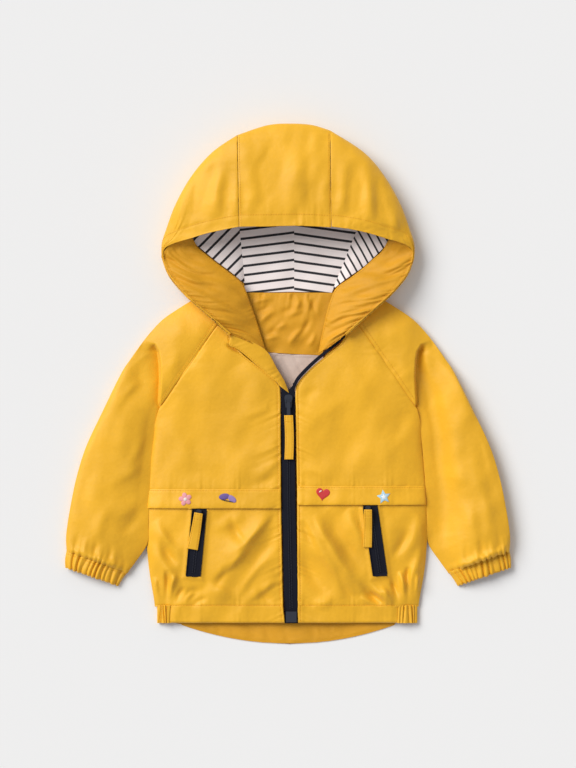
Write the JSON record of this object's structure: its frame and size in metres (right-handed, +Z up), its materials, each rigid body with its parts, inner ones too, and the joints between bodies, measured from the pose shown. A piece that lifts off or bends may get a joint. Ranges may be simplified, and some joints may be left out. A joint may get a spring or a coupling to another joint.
{
  "type": "windbreaker jacket",
  "caption": "Small child's hooded raglan windbreaker, zipped up and laid flat on its back, with a storm flap, slanting zip pockets and elastic cuffs and side hems.",
  "frame": {"origin": "middle of the jacket's outline on the surface it lies on", "axes": "+X across the jacket to the right of someone looking down at its front (the wearer's left), +Y towards the hood, +Z up from the surface"},
  "size_m": [0.579, 0.6744, 0.0481],
  "materials": {
    "outer_cloth": "plain woven yellow shell cloth, soft sheen",
    "inner_cloth": "plain woven yellow shell cloth, shaded inside",
    "striped_lining": "off-white knit with narrow black stripes",
    "body_lining": "pale pink-white lining",
    "zip_tape": "dark navy woven tape",
    "zip_hardware": "dark navy moulded resin, satin"
  },
  "bodies": {
    "jacket": {"back_lining": "body_lining", "back_neck_facing": "inner_cloth", "back_panel": "outer_cloth", "cuff_left": "outer_cloth", "cuff_right": "outer_cloth", "front_flap_left": "outer_cloth", "front_flap_right": "outer_cloth", "front_hem_left": "outer_cloth", "front_hem_right": "outer_cloth", "front_lower_left": "outer_cloth", "front_lower_right": "outer_cloth", "front_upper_left": "outer_cloth", "front_upper_right": "outer_cloth", "hood_centre": "outer_cloth", "hood_facing_left": "inner_cloth", "hood_facing_right": "inner_cloth", "hood_lining_centre_left": "striped_lining", "hood_lining_centre_right": "striped_lining", "hood_lining_side_left": "striped_lining", "hood_lining_side_right": "striped_lining", "hood_side_left": "outer_cloth", "hood_side_right": "outer_cloth", "neck_placket_left": "outer_cloth", "side_elastic_left": "outer_cloth", "side_elastic_right": "outer_cloth", "sleeve_left": "outer_cloth", "sleeve_right": "outer_cloth", "slider_front": "zip_hardware", "slider_pocket_left": "zip_hardware", "slider_pocket_right": "zip_hardware", "zip_box": "zip_hardware", "zip_pocket_left": "zip_tape", "zip_pocket_right": "zip_tape", "zip_tape_left": "zip_tape", "zip_tape_neck_right": "zip_tape", "zip_tape_right": "zip_tape"},
    "front_pull": {"puller_front": "zip_hardware", "pull_tab_front": "outer_cloth"},
    "left_pocket_pull": {"puller_pocket_left": "zip_hardware", "pull_tab_pocket_left": "outer_cloth"},
    "right_pocket_pull": {"puller_pocket_right": "zip_hardware", "pull_tab_pocket_right": "outer_cloth"}
  },
  "joints": [
    {"name": "front_pull_swing", "type": "hinge", "parent": "jacket", "child": "front_pull", "pos_m": [0.0006, -0.02175, 0.0239], "axis": [-1, -0.0079, 0], "range_deg": [0, 150]},
    {"name": "left_pocket_pull_swing", "type": "hinge", "parent": "jacket", "child": "left_pocket_pull", "pos_m": [-0.1155, -0.16575, 0.02335], "axis": [-0.9847, 0.1744, 0], "range_deg": [0, 85]},
    {"name": "right_pocket_pull_swing", "type": "hinge", "parent": "jacket", "child": "right_pocket_pull", "pos_m": [0.1035, -0.16125, 0.02384], "axis": [-0.9999, 0.014, 0], "range_deg": [0, 85]}
  ]
}
